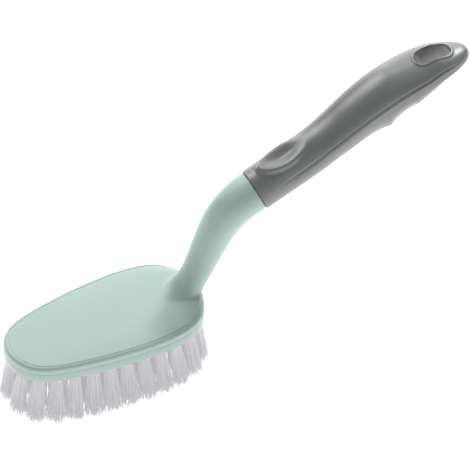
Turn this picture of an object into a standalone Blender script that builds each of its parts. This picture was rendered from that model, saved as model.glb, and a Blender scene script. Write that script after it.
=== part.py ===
"""A household scrub brush: an oval tufted head, a rising neck and a moulded hand grip.

The head frame lies under the middle of the head, on the plane of the bristle tips: +X runs towards the hand end,
+Y to the left of someone holding the grip, and +Z up. The grip has a frame of its own at the collar, where it
meets the neck: +X there runs along the grip and +Z away from the bristles.
"""

import math

import bmesh
import bpy
import numpy as np
from mathutils import Matrix

# Head, in metres: the plan outline is a short sum of cosines and sines round the oval
HEAD_LENGTH = 0.120
HEAD_WIDTH = 0.0622
HEAD_THICKNESS = 0.010
OUTLINE_LENGTH_SHARES = (1.08, -0.015, -0.10, 0.0, 0.02)
OUTLINE_WIDTH_SHARES = (0.98, 0.04, 0.0, -0.04)
HEAD_STEPS = 60

# Cover: the upper moulding of the head, a shallow cap that carries the neck
SEAM_DROP = 0.0044
FIT_GAP = 0.0003
EDGE_RADIUS = 0.0026
CROWN = 0.0012
COVER_WALL = 0.0027
COVER_ROOF = 0.0019

# Tuft block: the lower moulding, with a blind hole for each tuft
HOLE_RADIUS = 0.00225
HOLE_DEPTH = 0.0060
HOLE_SIDES = 12
BLOCK_EDGE_RADIUS = 0.0008

# Tufts: strands fused to a root that stands for the folded bundle and its anchor wire
BRISTLE_LENGTH = 0.030
ROOT_RADIUS = 0.00185
STRANDS_PER_TUFT = 8
STRAND_SHRINK = 0.00014
OUTER_INSET = 0.0056
CORE_SETOUT = 0.0075
RING_END_SHARE = 0.6
RING_PITCH = (HEAD_WIDTH / 2 - OUTER_INSET - CORE_SETOUT) / 2
TIP_CLEARANCE = 0.0007
TIP_SPREAD = RING_PITCH / 2 - TIP_CLEARANCE
INNER_TIP_SPREAD_SHARE = 0.5
STRAND_TIP_GROWTH_SHARE = 1.35
TIP_WANDER = 0.0003
END_LEAN_SHARE = 0.68
TUFT_RINGS = (
    # name, inset from the outline, tufts on each side, outward lean along the long sides
    ("outer", OUTER_INSET, 13, math.radians(10.5)),
    ("middle", OUTER_INSET + RING_PITCH, 9, math.radians(6.5)),
    ("core", OUTER_INSET + 2 * RING_PITCH, 6, math.radians(2.5)),
)

# Neck: an oval bar whose centre line is one cubic curve from the head's rear end up to the collar
NECK_SETBACK = 0.0082
NECK_REACH = 0.0422
NECK_RISE = 0.057
NECK_ROOT_LEAN = math.radians(62.0)
NECK_ROOT_PULL = 0.0395
NECK_COLLAR_PULL = 0.0265
NECK_ROOT_HALF_WIDTH = 0.0089
NECK_ROOT_HALF_DEPTH = 0.0067
FILLET_RUN = 0.024
FILLET_REACH_SHARE = 0.94
FILLET_TOP_SHARE = 0.20
FILLET_STEPS = 6
NECK_STEPS = 9

# Collar: where the grip meets the neck, with the tang that plugs into the grip
GRIP_TILT = math.radians(21.0)
COLLAR_HALF_WIDTH = 0.0129
COLLAR_HALF_HEIGHT = 0.0121
COLLAR_STEP = 0.0004
COLLAR_EDGE = 0.0004
SOCKET_WALL = 0.0026
TANG_LENGTH = 0.042
TANG_WALL = 0.0019
TANG_LEAD_IN = 0.0012
BORE_DEPTH_SHARE = 0.55

# Grip: the outer form, by the sizes at its fullest section, the belly
GRIP_LENGTH = 0.1435
BELLY_HALF_WIDTH = 0.0156
BELLY_TOP = 0.0192
BELLY_SHOULDER = 0.0078
BELLY_DEPTH = 0.0092
GRIP_PROFILE_SHARES = (
    # along the grip, share of the collar's size, width, top, shoulder, depth
    (0.000, 1.00, 1.000, 1.000, 1.00, 1.00),
    (0.140, 1.00, 1.000, 1.000, 1.00, 1.00),
    (0.225, 0.97, 0.950, 0.700, 2.00, 1.10),
    (0.310, 0.88, 0.910, 0.700, 2.14, 1.14),
    (0.385, 0.68, 0.960, 0.847, 1.60, 0.96),
    (0.455, 0.40, 0.974, 0.939, 1.24, 1.03),
    (0.525, 0.15, 0.985, 0.966, 1.06, 1.09),
    (0.595, 0.00, 0.994, 0.984, 0.99, 1.01),
    (0.665, 0.00, 1.000, 0.984, 1.00, 1.00),
    (0.735, 0.00, 0.994, 0.875, 0.92, 0.98),
    (0.800, 0.00, 0.955, 0.763, 0.75, 0.82),
    (0.870, 0.00, 0.837, 0.660, 0.48, 0.60),
    (0.930, 0.00, 0.740, 0.420, 0.16, 0.63),
    (0.970, 0.00, 0.680, 0.310, -0.06, 0.78),
    (1.000, 0.00, 0.640, 0.270, -0.18, 0.88),
)
END_ROUND_START_SHARE = 0.87
END_ROUNDNESS = 2.3
GRIP_RING_SHARES = (
    0.0, 0.035, 0.045, 0.055, 0.065, 0.075, 0.086, 0.098, 0.112, 0.128, 0.144, 0.16, 0.175, 0.19, 0.205, 0.22, 0.235,
    0.25, 0.265, 0.28, 0.31, 0.345,
    0.385, 0.42, 0.455, 0.49, 0.52, 0.545, 0.563, 0.581, 0.597, 0.62, 0.655, 0.69, 0.712, 0.727, 0.745, 0.77,
    0.80, 0.83, 0.865, 0.90, 0.93, 0.955, 0.974, 0.987, 0.995, 0.999,
)  # fmt: skip
SECTION_ANGLES = tuple(
    math.radians(angle) for angle in (0, 9, 18, 27, 36, 45, 54, 62, 66, 69, 78, 90, 102, 116, 130, 145, 162, 180)
)

# Side crease: a shallow step and groove below the grip's domed top, on both sides
CREASE_ANGLE = math.radians(66.0)
CREASE_STEP_ANGLE = math.radians(3.0)
CREASE_END_ANGLE = math.radians(96.0)
CREASE_DEPTH = 0.0007
CREASE_FADE_IN_SHARES = (0.30, 0.45)
CREASE_FADE_OUT_SHARES = (0.86, 0.96)

# Finger scallops under the grip
CREST_SETBACK = 0.0601
FINGER_PITCH = 0.0209
FIRST_SCALLOP_LENGTH = 0.0284
LAST_SCALLOP_LENGTH = 0.0257
FIRST_CREST = GRIP_LENGTH - CREST_SETBACK
SCALLOP_START = FIRST_CREST - FIRST_SCALLOP_LENGTH
FIRST_CREST_DROP = 0.0022
SECOND_CREST_DROP = 0.0006
SCALLOP_DEPTH = 0.0018
SCALLOP_DEPTH_SHARES = (1.0, 1.0, 0.4)
KEEL_ROUNDNESS = 2.0
CREST_FULLNESS_SHARE = 0.3

# Thumb rest: a dished oval pad with a raised lip, on top behind the collar
THUMB_CENTRE = 0.0213
THUMB_HALF_LENGTH = 0.0145
THUMB_HALF_WIDTH = 0.0086
THUMB_LIP = 0.0016
THUMB_DISH = 0.0018
LIP_OUTER_SHARES = (0.90, 1.16)
DISH_EDGE_SHARE = 0.88

# Grip hollow and hanging slot
GRIP_WALL = 0.0024
HOLLOW_END_TAPER_SHARE = 0.55
HOLLOW_STEPS = 9
SLOT_SETBACK = 0.0190
SLOT_WALL = 0.0042
SLOT_LENGTH = 0.020
SLOT_WIDTH = 0.0100
SLOT_CORNER = 0.0043
SLOT_CORNER_STEPS = 5
SLOT_CHAMFER = 0.0011
SLOT_TOP_SLOPE = math.radians(-26.0)
OVERRUN = 0.004

# Working values that follow from the sizes above
UNDERSIDE_Z = BRISTLE_LENGTH
TOP_Z = UNDERSIDE_Z + HEAD_THICKNESS
SEAM_Z = TOP_Z - SEAM_DROP
NECK_ROOT_X = HEAD_LENGTH / 2 - NECK_SETBACK
COLLAR_X = NECK_ROOT_X + NECK_REACH
COLLAR_Z = TOP_Z + NECK_RISE
NECK_END_HALF_WIDTH = COLLAR_HALF_WIDTH - COLLAR_STEP
NECK_END_HALF_DEPTH = COLLAR_HALF_HEIGHT - COLLAR_STEP
SLOT_CENTRE = GRIP_LENGTH - SLOT_SETBACK
HOLLOW_END = SLOT_CENTRE - SLOT_LENGTH / 2 - SLOT_WALL - GRIP_WALL
TANG_HALF_WIDTH = COLLAR_HALF_WIDTH - SOCKET_WALL - FIT_GAP
TANG_HALF_HEIGHT = COLLAR_HALF_HEIGHT - SOCKET_WALL - FIT_GAP

# Finishes: colour, roughness and metallic value of each piece
MINT = ((0.47, 0.62, 0.56, 1.0), 0.32, 0.0)
MINT_BLOCK = ((0.43, 0.58, 0.53, 1.0), 0.36, 0.0)
GREY = ((0.21, 0.22, 0.22, 1.0), 0.40, 0.0)
NYLON = ((0.78, 0.78, 0.80, 1.0), 0.45, 0.0)


def clear_scene():
    """Removes whatever the scene holds."""
    for thing in list(bpy.data.objects):
        bpy.data.objects.remove(thing, do_unlink=True)


def make_collection(name):
    collection = bpy.data.collections.new(name)
    bpy.context.scene.collection.children.link(collection)
    return collection


def make_material(name, finish):
    colour, roughness, metallic = finish
    material = bpy.data.materials.new(name)
    material.use_nodes = True
    shader = material.node_tree.nodes["Principled BSDF"]
    shader.inputs["Base Color"].default_value = colour
    shader.inputs["Roughness"].default_value = roughness
    shader.inputs["Metallic"].default_value = metallic
    return material


def smoothstep(low, high, value):
    """0 below low, 1 above high, and a smooth S between them."""
    share = np.clip((value - low) / (high - low), 0.0, 1.0)
    return share * share * (3.0 - 2.0 * share)


def smooth_through(stations, values, at):
    """A smooth curve through the values at the stations, read at the given places."""
    stations = np.asarray(stations)
    values = np.asarray(values)
    slopes = np.gradient(values, stations)
    index = np.clip(np.searchsorted(stations, at, side="right") - 1, 0, len(stations) - 2)
    span = stations[index + 1] - stations[index]
    share = (at - stations[index]) / span
    rest = 1.0 - share
    start = (1.0 + 2.0 * share) * rest**2 * values[index] + share * rest**2 * span * slopes[index]
    end = share**2 * (3.0 - 2.0 * share) * values[index + 1] - share**2 * rest * span * slopes[index + 1]
    return start + end


def outline(angles, inset):
    """Plan points of the head's oval at the given angles, moved inwards by the inset. Angle 0 is the neck's end."""
    orders = np.arange(1, len(OUTLINE_LENGTH_SHARES) + 1)
    turns = np.multiply.outer(angles, orders)
    x = HEAD_LENGTH / 2 * np.cos(turns) @ np.array(OUTLINE_LENGTH_SHARES)
    along_x = -HEAD_LENGTH / 2 * (np.sin(turns) * orders) @ np.array(OUTLINE_LENGTH_SHARES)
    orders = orders[: len(OUTLINE_WIDTH_SHARES)]
    turns = turns[..., : len(OUTLINE_WIDTH_SHARES)]
    y = HEAD_WIDTH / 2 * np.sin(turns) @ np.array(OUTLINE_WIDTH_SHARES)
    along_y = HEAD_WIDTH / 2 * (np.cos(turns) * orders) @ np.array(OUTLINE_WIDTH_SHARES)
    length = np.hypot(along_x, along_y)
    return np.stack([x - inset * along_y / length, y + inset * along_x / length], axis=-1)


def level_ring(inset, height):
    """A ring of the head at one height, with the outline moved in."""
    angles = np.linspace(0.0, 2.0 * math.pi, HEAD_STEPS, endpoint=False)
    plan = outline(angles, inset)
    return np.column_stack([plan, np.broadcast_to(height, HEAD_STEPS)])


def make_mesh_object(name, mesh, material, collection):
    thing = bpy.data.objects.new(name, mesh)
    mesh.materials.append(material)
    collection.objects.link(thing)
    return thing


def loft(name, rings, material, collection):
    """A closed skin over rings that all have the same number of points, with a flat cap on the first and last."""
    form = bmesh.new()
    rows = [[form.verts.new(point) for point in ring] for ring in rings]
    form.faces.new(rows[0])
    for lower, upper in zip(rows, rows[1:]):
        for here, after in zip(range(len(lower)), [*range(1, len(lower)), 0]):
            form.faces.new((lower[here], upper[here], upper[after], lower[after]))
    form.faces.new(reversed(rows[-1]))
    bmesh.ops.recalc_face_normals(form, faces=form.faces)
    mesh = bpy.data.meshes.new(name)
    form.to_mesh(mesh)
    form.free()
    mesh.shade_smooth()
    mesh.set_sharp_from_angle(angle=math.radians(35.0))
    return make_mesh_object(name, mesh, material, collection)


def cut(thing, cutter, name):
    """Takes the cutter's volume out of the piece."""
    modifier = thing.modifiers.new(name, "BOOLEAN")
    modifier.operation = "DIFFERENCE"
    modifier.object = cutter
    modifier.solver = "EXACT"
    cutter.hide_render = True
    cutter.display_type = "WIRE"


def neck_centre(share):
    """Centre of the neck and its direction in the XZ plane, at a share of the cubic curve's run."""
    start = np.array([NECK_ROOT_X, TOP_Z])
    end = np.array([COLLAR_X, COLLAR_Z])
    lean = np.array([math.cos(NECK_ROOT_LEAN), math.sin(NECK_ROOT_LEAN)])
    tilt = np.array([math.cos(GRIP_TILT), math.sin(GRIP_TILT)])
    points = (start, start + NECK_ROOT_PULL * lean, end - NECK_COLLAR_PULL * tilt, end)
    rest = 1.0 - share
    weights = (rest**3, 3.0 * rest**2 * share, 3.0 * rest * share**2, share**3)
    pulls = (3.0 * rest**2, 6.0 * rest * share, 3.0 * share**2)
    centre = sum(weight * point for weight, point in zip(weights, points))
    direction = sum(pull * (after - before) for pull, before, after in zip(pulls, points, points[1:]))
    return centre, direction / np.linalg.norm(direction)


def neck_ring(share, half_width, half_depth, along=0.0):
    """An oval ring square to the neck's centre line. Its point 0 is on the side away from the head."""
    centre, direction = neck_centre(share)
    angles = np.linspace(0.0, 2.0 * math.pi, HEAD_STEPS, endpoint=False)
    depth = half_depth * np.cos(angles)
    x = centre[0] + along * direction[0] + depth * direction[1]
    z = centre[1] + along * direction[1] - depth * direction[0]
    return np.column_stack([x, half_width * np.sin(angles), z])


def neck_sizes(share):
    """Half width and half depth of the neck's section: they grow from the root to just under the collar's size."""
    half_width = NECK_ROOT_HALF_WIDTH + (NECK_END_HALF_WIDTH - NECK_ROOT_HALF_WIDTH) * share
    half_depth = NECK_ROOT_HALF_DEPTH + (NECK_END_HALF_DEPTH - NECK_ROOT_HALF_DEPTH) * math.sin(share * math.pi / 2)
    return half_width, half_depth


def neck_foot():
    """Where the neck's sides, carried straight down, would meet the head's top."""
    angles = np.linspace(0.0, 2.0 * math.pi, HEAD_STEPS, endpoint=False)
    x = NECK_ROOT_X + NECK_ROOT_HALF_DEPTH / math.sin(NECK_ROOT_LEAN) * np.cos(angles)
    return np.column_stack([x, NECK_ROOT_HALF_WIDTH * np.sin(angles), np.full(HEAD_STEPS, TOP_Z + CROWN)])


def cover_rings():
    """Rings from the recess under the cover, over its edge and top, and up the fillet to the neck."""
    ceiling = TOP_Z - COVER_ROOF
    rings = [level_ring(COVER_WALL, ceiling), level_ring(COVER_WALL, SEAM_Z), level_ring(0.0, SEAM_Z)]
    foot = neck_foot()
    corner = level_ring(0.0, TOP_Z)
    room = np.linalg.norm((foot - corner)[:, :2], axis=1)
    radius = EDGE_RADIUS * np.tanh(room / (2.0 * EDGE_RADIUS)) + FIT_GAP
    for turn in np.radians((0.0, 22.5, 45.0, 67.5)):
        rings.append(level_ring(radius * (1.0 - math.cos(turn)), TOP_Z - radius * (1.0 - math.sin(turn))))
    edge = level_ring(radius, TOP_Z)
    top = edge - foot
    length = np.linalg.norm(top[:, :2], axis=1)
    run = FILLET_RUN * np.tanh(FILLET_REACH_SHARE * length / FILLET_RUN)
    start_share = (1.0 - run / length)[:, None]
    for share in (0.0, 0.25, 0.6):
        ring = edge + (foot - edge) * start_share * share
        ring[:, 2] = TOP_Z + CROWN * (1.0 - (1.0 - start_share[:, 0] * share) ** 2)
        rings.append(ring)
    start = edge + (foot - edge) * start_share
    start[:, 2] = TOP_Z + CROWN * (1.0 - (1.0 - start_share[:, 0]) ** 2)
    finish = neck_ring(FILLET_TOP_SHARE, *neck_sizes(FILLET_TOP_SHARE))
    for step in range(FILLET_STEPS):
        share = step / FILLET_STEPS
        rings.append((1.0 - share) ** 2 * start + 2.0 * (1.0 - share) * share * foot + share**2 * finish)
    return rings


def neck_rings():
    """Rings from the top of the fillet to the collar, over the tang and down the bore inside it."""
    rings = []
    for step in range(NECK_STEPS):
        share = FILLET_TOP_SHARE + (1.0 - FILLET_TOP_SHARE) * step / NECK_STEPS
        rings.append(neck_ring(share, *neck_sizes(share)))
    face = -FIT_GAP / 2
    rings.append(neck_ring(1.0, NECK_END_HALF_WIDTH, NECK_END_HALF_DEPTH, face - COLLAR_EDGE))
    rings.append(neck_ring(1.0, NECK_END_HALF_WIDTH - COLLAR_EDGE, NECK_END_HALF_DEPTH - COLLAR_EDGE, face))
    rings.append(neck_ring(1.0, TANG_HALF_WIDTH, TANG_HALF_HEIGHT, face))
    rings.append(neck_ring(1.0, TANG_HALF_WIDTH, TANG_HALF_HEIGHT, TANG_LENGTH - TANG_LEAD_IN))
    lead_in = TANG_LEAD_IN / 2
    rings.append(neck_ring(1.0, TANG_HALF_WIDTH - lead_in, TANG_HALF_HEIGHT - lead_in, TANG_LENGTH))
    bore = (TANG_HALF_WIDTH - TANG_WALL, TANG_HALF_HEIGHT - TANG_WALL)
    rings.append(neck_ring(1.0, *bore, TANG_LENGTH))
    rings.append(neck_ring(1.0, *bore))
    for share in np.linspace(1.0, BORE_DEPTH_SHARE, 4)[1:]:
        shrink = (share + 1.0) / 2.0
        rings.append(neck_ring(share, bore[0] * shrink, bore[1] * shrink))
    return rings


def make_head_and_neck(collection):
    """Cover, neck and tang, which are one moulding."""
    rings = cover_rings() + neck_rings()
    return loft("head_and_neck", rings, make_material("mint_moulding", MINT), collection)


def tuft_places():
    """Ring, number, plan place, outward direction and lean of each tuft on the left; the right side mirrors it."""
    places = []
    edge = outline(np.linspace(0.0, math.pi, 721), 0.0)
    for ring, inset, count, lean in TUFT_RINGS:
        line = edge * (1.0 - inset / (HEAD_LENGTH / 2), 1.0 - inset / (HEAD_WIDTH / 2))
        run = np.concatenate([[0.0], np.cumsum(np.linalg.norm(np.diff(line, axis=0), axis=1))])
        stations = (np.arange(count) + RING_END_SHARE) / (count - 1 + 2.0 * RING_END_SHARE)
        spots = np.searchsorted(run, run[-1] * stations)
        for number, index in enumerate(spots, start=1):
            outward = edge[index] - line[index]
            outward /= np.linalg.norm(outward)
            here = lean * (END_LEAN_SHARE + (1.0 - END_LEAN_SHARE) * outward[1] ** 2)
            places.append((ring, number, line[index], outward, here))
    return places


def tuft_frame(spot, outward, lean):
    """Matrix of a tuft: its origin at the hole's mouth, its -Z along the bristles and its +X outwards."""
    out = np.array([*outward, 0.0])
    back = np.array([0.0, 0.0, 1.0]) * math.cos(lean) - out * math.sin(lean)
    ahead = out * math.cos(lean) + np.array([0.0, 0.0, 1.0]) * math.sin(lean)
    frame = np.eye(4)
    frame[:3, 0] = ahead
    frame[:3, 1] = np.cross(back, ahead)
    frame[:3, 2] = back
    frame[:3, 3] = (*spot, UNDERSIDE_Z)
    return frame


def make_tuft_block(collection, cutters):
    """The lower half of the head: a plate with a raised tongue, and a blind hole for every tuft."""
    tongue_inset = COVER_WALL + FIT_GAP
    seam = SEAM_Z - FIT_GAP
    rings = [
        level_ring(BLOCK_EDGE_RADIUS, UNDERSIDE_Z),
        level_ring(0.0, UNDERSIDE_Z + BLOCK_EDGE_RADIUS),
        level_ring(0.0, seam),
        level_ring(tongue_inset, seam),
        level_ring(tongue_inset, TOP_Z - COVER_ROOF - FIT_GAP),
    ]
    block = loft("tuft_block", rings, make_material("mint_block", MINT_BLOCK), collection)
    form = bmesh.new()
    for _, _, spot, outward, lean in tuft_places():
        for mirror in (1.0, -1.0):
            drilled = bmesh.ops.create_cone(
                form,
                cap_ends=True,
                segments=HOLE_SIDES,
                radius1=HOLE_RADIUS,
                radius2=HOLE_RADIUS,
                depth=HOLE_DEPTH + OVERRUN,
            )
            bmesh.ops.translate(form, vec=(0.0, 0.0, (HOLE_DEPTH - OVERRUN) / 2), verts=drilled["verts"])
            place = tuft_frame(spot * (1.0, mirror), outward * (1.0, mirror), lean)
            bmesh.ops.transform(form, matrix=Matrix(place.tolist()), verts=drilled["verts"])
    mesh = bpy.data.meshes.new("tuft_holes")
    form.to_mesh(mesh)
    form.free()
    holes = bpy.data.objects.new("tuft_holes", mesh)
    cutters.objects.link(holes)
    cut(block, holes, "tuft holes")
    return block, holes


def make_tuft(name, frame, side, wander, material, collection):
    """One tuft: an eight-sided root in its hole, with a strand drawn out of each sector of its lower face."""
    form = bmesh.new()
    root_height = HOLE_DEPTH - FIT_GAP
    made = bmesh.ops.create_cone(
        form,
        cap_ends=True,
        cap_tris=True,
        segments=STRANDS_PER_TUFT,
        radius1=ROOT_RADIUS,
        radius2=ROOT_RADIUS,
        depth=root_height,
    )
    bmesh.ops.translate(form, vec=(0.0, 0.0, root_height / 2), verts=made["verts"])
    sectors = [face for face in form.faces if face.normal.z < -0.5]
    sectors.sort(key=lambda face: math.atan2(face.calc_center_median().y, face.calc_center_median().x))
    bmesh.ops.inset_individual(form, faces=sectors, thickness=STRAND_SHRINK, use_even_offset=True)
    drawn = [bmesh.ops.extrude_discrete_faces(form, faces=[face])["faces"][0] for face in sectors]
    reach = BRISTLE_LENGTH / frame[2, 2]
    for number, face in enumerate(drawn):
        centre = face.calc_center_median()
        spread = TIP_SPREAD if number % 2 == 0 else TIP_SPREAD * INNER_TIP_SPREAD_SHARE
        direction = np.array([centre.x, centre.y]) / math.hypot(centre.x, centre.y)
        tip_centre = direction * spread + wander[number]
        for corner in face.verts:
            away = np.array([corner.co.x - centre.x, corner.co.y - centre.y])
            corner.co.xy = tip_centre + away * STRAND_TIP_GROWTH_SHARE
            corner.co.z = -reach
    bmesh.ops.transform(form, matrix=Matrix(frame.tolist()), verts=form.verts)
    trim_tips(drawn, frame[:3, 3])
    if side == "right":
        bmesh.ops.transform(form, matrix=Matrix.Diagonal((1.0, -1.0, 1.0, 1.0)), verts=form.verts)
    bmesh.ops.recalc_face_normals(form, faces=form.faces)
    mesh = bpy.data.meshes.new(name)
    form.to_mesh(mesh)
    form.free()
    return make_mesh_object(name, mesh, material, collection)


def trim_tips(faces, root):
    """Brings the strands' ends to the plane that the brush stands on, along the lines from the root."""
    for corner in {corner for face in faces for corner in face.verts}:
        share = corner.co.z / (corner.co.z - root[2])
        corner.co.x += (root[0] - corner.co.x) * share
        corner.co.y += (root[1] - corner.co.y) * share
        corner.co.z = 0.0


def make_tufts(collection):
    """Every tuft of the head, the right side a mirror of the left."""
    material = make_material("nylon", NYLON)
    random = np.random.default_rng(7)
    tufts = []
    for ring, number, spot, outward, lean in tuft_places():
        frame = tuft_frame(spot, outward, lean)
        wander = random.uniform(-TIP_WANDER, TIP_WANDER, (STRANDS_PER_TUFT, 2))
        for side in ("left", "right"):
            name = f"tuft_{ring}_{side}_{number:02d}"
            tufts.append(make_tuft(name, frame, side, wander, material, collection))
    return tufts


def grip_sizes(along):
    """Half width, top, shoulder and bottom heights of the grip's section at places along it, before the scallops."""
    table = np.array(GRIP_PROFILE_SHARES)
    stations = table[:, 0] * GRIP_LENGTH
    collar, width, top, shoulder, depth = (smooth_through(stations, column, along) for column in table.T[1:])
    collar = np.clip(collar, 0.0, 1.0)
    belly = 1.0 - collar
    half_width = collar * COLLAR_HALF_WIDTH + belly * BELLY_HALF_WIDTH * width
    top = collar * COLLAR_HALF_HEIGHT + belly * BELLY_TOP * top
    shoulder = belly * BELLY_SHOULDER * shoulder
    bottom = -collar * COLLAR_HALF_HEIGHT - belly * BELLY_DEPTH * depth
    return half_width, top, shoulder, bottom


def scallop_drop(along):
    """How far the underside stands below its plain line: crests between the fingers, scallops where they lie."""
    second_crest = FIRST_CREST + FINGER_PITCH
    crests = (SCALLOP_START, FIRST_CREST, second_crest, second_crest + LAST_SCALLOP_LENGTH)
    drops = (0.0, FIRST_CREST_DROP, SECOND_CREST_DROP, 0.0)
    line = np.interp(along, crests, drops)
    shapes = (
        lambda share: 6.75 * share**2 * (1.0 - share),
        lambda share: 4.0 * share * (1.0 - share),
        lambda share: 6.75 * share * (1.0 - share) ** 2,
    )
    for start, end, depth_share, shape in zip(crests, crests[1:], SCALLOP_DEPTH_SHARES, shapes):
        line = line - SCALLOP_DEPTH * depth_share * shape(np.clip((along - start) / (end - start), 0.0, 1.0))
    return line


def thumb_relief(along, across):
    """Outward height of the thumb rest at a place on the grip's top: its lip, less its dish."""
    reach = np.hypot((along - THUMB_CENTRE) / THUMB_HALF_LENGTH, across / THUMB_HALF_WIDTH)
    fade = 1.0 - smoothstep(THUMB_CENTRE, THUMB_CENTRE + THUMB_HALF_LENGTH, along)
    lip = THUMB_LIP * fade
    raised = lip * (1.0 - smoothstep(*LIP_OUTER_SHARES, reach))
    hollow = np.clip(1.0 - (reach / DISH_EDGE_SHARE) ** 2, 0.0, 1.0) ** 1.5
    return raised - (lip + THUMB_DISH) * hollow


def crease_drop(along, angle):
    """Inward depth of the side crease: a short step, then a groove that runs out again."""
    fade_in = smoothstep(*(GRIP_LENGTH * share for share in CREASE_FADE_IN_SHARES), along)
    fade_out = 1.0 - smoothstep(*(GRIP_LENGTH * share for share in CREASE_FADE_OUT_SHARES), along)
    step_end = CREASE_ANGLE + CREASE_STEP_ANGLE
    profile = np.interp(angle, (CREASE_ANGLE, step_end, CREASE_END_ANGLE), (0.0, 1.0, 0.0))
    return CREASE_DEPTH * fade_in * fade_out * profile


def grip_ring(along):
    """The grip's outer section at one place: half of it from the top round to the bottom, then its mirror."""
    half_width, top, shoulder, bottom = grip_sizes(along)
    drop = scallop_drop(along)
    bottom = bottom - drop
    roundness = KEEL_ROUNDNESS + CREST_FULLNESS_SHARE * drop / FIRST_CREST_DROP
    angles = np.array(SECTION_ANGLES)
    upper = angles <= math.pi / 2
    sine = np.abs(np.sin(angles))
    cosine = np.abs(np.cos(angles))
    power = np.where(upper, 1.0, 2.0 / roundness)
    height = np.where(upper, top - shoulder, bottom - shoulder)
    across = half_width * sine**power
    up = shoulder + height * cosine**power
    outward = np.column_stack([across / half_width**2, (up - shoulder) / height**2])
    outward /= np.linalg.norm(outward, axis=1)[:, None]
    relief = np.where(upper, thumb_relief(along, across), 0.0) - crease_drop(along, angles)
    across = across + outward[:, 0] * relief
    up = up + outward[:, 1] * relief
    tip = np.clip((along / GRIP_LENGTH - END_ROUND_START_SHARE) / (1.0 - END_ROUND_START_SHARE), 0.0, 1.0)
    scale = (1.0 - tip**END_ROUNDNESS) ** (1.0 / END_ROUNDNESS)
    middle = (top + bottom) / 2
    across[0] = 0.0
    across[-1] = 0.0
    up = middle + (up - middle) * scale
    across = across * scale
    around = np.concatenate([across, -across[-2:0:-1]])
    heights = np.concatenate([up, up[-2:0:-1]])
    return np.column_stack([np.full(len(around), along), around, heights])


def oval_ring(along, half_width, top, bottom):
    """A plain oval section of the grip's hollow, with its points at the outer section's angles."""
    angles = np.array(SECTION_ANGLES)
    across = half_width * np.sin(angles)
    across[-1] = 0.0
    up = (top + bottom) / 2 + (top - bottom) / 2 * np.cos(angles)
    around = np.concatenate([across, -across[-2:0:-1]])
    return np.column_stack([np.full(len(around), along), around, np.concatenate([up, up[-2:0:-1]])])


def hollow_rings():
    """Rings of the grip's hollow, from its closed end back to the socket's mouth."""
    socket_width = TANG_HALF_WIDTH + FIT_GAP
    socket_height = TANG_HALF_HEIGHT + FIT_GAP
    socket_end = TANG_LENGTH + FIT_GAP
    rings = []
    for along in np.linspace(HOLLOW_END, socket_end + GRIP_WALL, HOLLOW_STEPS):
        half_width, top, _, bottom = grip_sizes(along)
        wall = GRIP_WALL + THUMB_DISH * (1.0 - smoothstep(socket_end, SCALLOP_START, along))
        ring_top = top - wall
        ring_bottom = bottom + GRIP_WALL + max(0.0, -scallop_drop(along))
        rings.append(oval_ring(along, half_width - wall - CREASE_DEPTH, ring_top, ring_bottom))
    first = rings[0]
    centre = first.mean(axis=0)
    rings.insert(0, centre + (first - centre) * HOLLOW_END_TAPER_SHARE + (GRIP_WALL, 0.0, 0.0))
    rings.append(oval_ring(socket_end, socket_width, socket_height, -socket_height))
    rings.append(oval_ring(FIT_GAP / 2, socket_width, socket_height, -socket_height))
    return rings


def slot_outline(grow):
    """Plan points of the hanging slot, a long hole with rounded ends, grown by an amount all round."""
    half_length = SLOT_LENGTH / 2 - SLOT_CORNER
    half_width = SLOT_WIDTH / 2 - SLOT_CORNER
    points = []
    for quarter, (side_x, side_y) in enumerate(((1, 1), (-1, 1), (-1, -1), (1, -1))):
        for angle in np.linspace(0.0, math.pi / 2, SLOT_CORNER_STEPS) + quarter * math.pi / 2:
            reach = SLOT_CORNER + grow
            points.append((side_x * half_length + reach * math.cos(angle), side_y * half_width + reach * math.sin(angle)))
    return np.array(points)


def slot_ring(grow, depth, slope, surface):
    """A ring of the slot's cutter: its plan laid on the sloping face, and moved up by the depth."""
    plan = slot_outline(grow)
    height = surface + depth + plan[:, 0] * math.tan(slope)
    return np.column_stack([SLOT_CENTRE + plan[:, 0], plan[:, 1], height])


def make_slot_cutter(cutters):
    """The hanging slot: a straight hole through the grip's end, with a chamfer at both mouths."""
    _, top, _, bottom = grip_sizes(SLOT_CENTRE)
    material = make_material("cutter", GREY)
    rise = OVERRUN
    rings = [
        slot_ring(SLOT_CHAMFER + rise, -rise, 0.0, bottom),
        slot_ring(0.0, SLOT_CHAMFER, 0.0, bottom),
        slot_ring(0.0, -SLOT_CHAMFER, SLOT_TOP_SLOPE, top),
        slot_ring(SLOT_CHAMFER + rise, rise, SLOT_TOP_SLOPE, top),
    ]
    return loft("slot_cutter", rings, material, cutters)


def make_grip(collection, cutters):
    """The hollow hand grip, in its own frame at the collar."""
    mouth = FIT_GAP / 2
    outer = [grip_ring(share * GRIP_LENGTH) for share in GRIP_RING_SHARES[1:]]
    first = grip_ring(0.0)
    edge = first * (0.0, (COLLAR_HALF_WIDTH - COLLAR_EDGE) / COLLAR_HALF_WIDTH, 1.0)
    edge[:, 2] *= (COLLAR_HALF_HEIGHT - COLLAR_EDGE) / COLLAR_HALF_HEIGHT
    rings = hollow_rings() + [edge + (mouth, 0.0, 0.0), first + (mouth + COLLAR_EDGE, 0.0, 0.0)] + outer
    grip = loft("grip", rings, make_material("grey_grip", GREY), collection)
    cutter = make_slot_cutter(cutters)
    cut(grip, cutter, "hanging slot")
    for thing in (grip, cutter):
        thing.location = (COLLAR_X, 0.0, COLLAR_Z)
        thing.rotation_euler = (0.0, -GRIP_TILT, 0.0)
    return grip, cutter


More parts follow.
